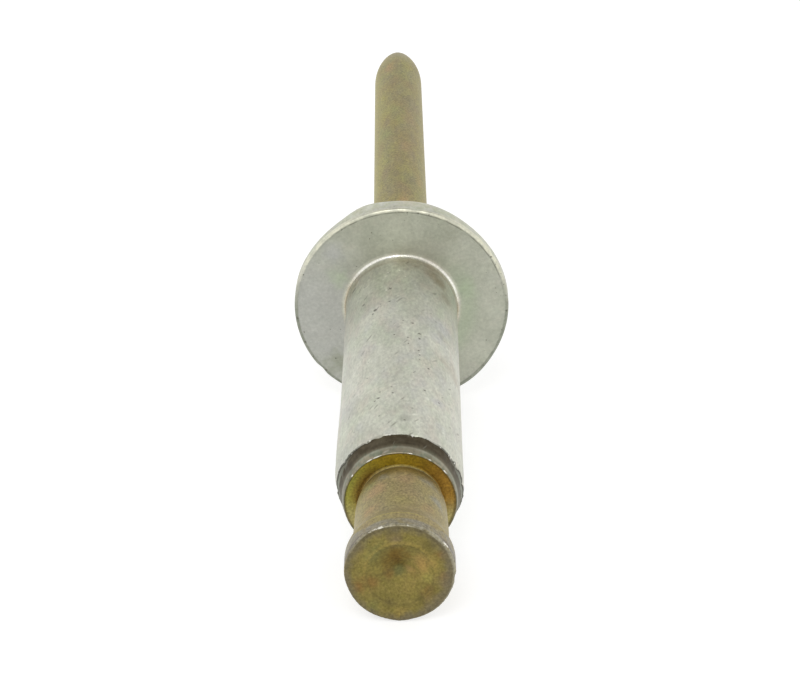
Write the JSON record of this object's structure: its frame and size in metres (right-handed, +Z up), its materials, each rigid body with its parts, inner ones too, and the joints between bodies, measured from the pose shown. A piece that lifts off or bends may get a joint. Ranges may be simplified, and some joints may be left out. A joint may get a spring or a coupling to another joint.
{
  "type": "structural blind rivet",
  "caption": "Unset blind rivet lying on a table: domed-flange sleeve with its tail rolled over the shear ring of a dimple-headed mandrel, and a long pulling stem with a tapered end.",
  "frame": {"origin": "middle of the bounding box's footprint, on the table that the rivet lies on", "axes": "+Y runs along the rivet from the mandrel's head towards the stem's tip, level with the table; +Z up. The rivet's own axis lies in the YZ plane and rises towards +Y by about 7 degrees"},
  "size_m": [0.0124, 0.0706, 0.0123],
  "materials": {
    "sleeve_plate": "satin clear zinc plate on steel, faint green and pink bloom, small nicks",
    "mandrel_plate": "yellow chromated zinc plate on steel, mottled olive, pink and grey"
  },
  "bodies": {
    "root": {"sleeve": "sleeve_plate", "mandrel": "mandrel_plate"}
  },
  "joints": []
}
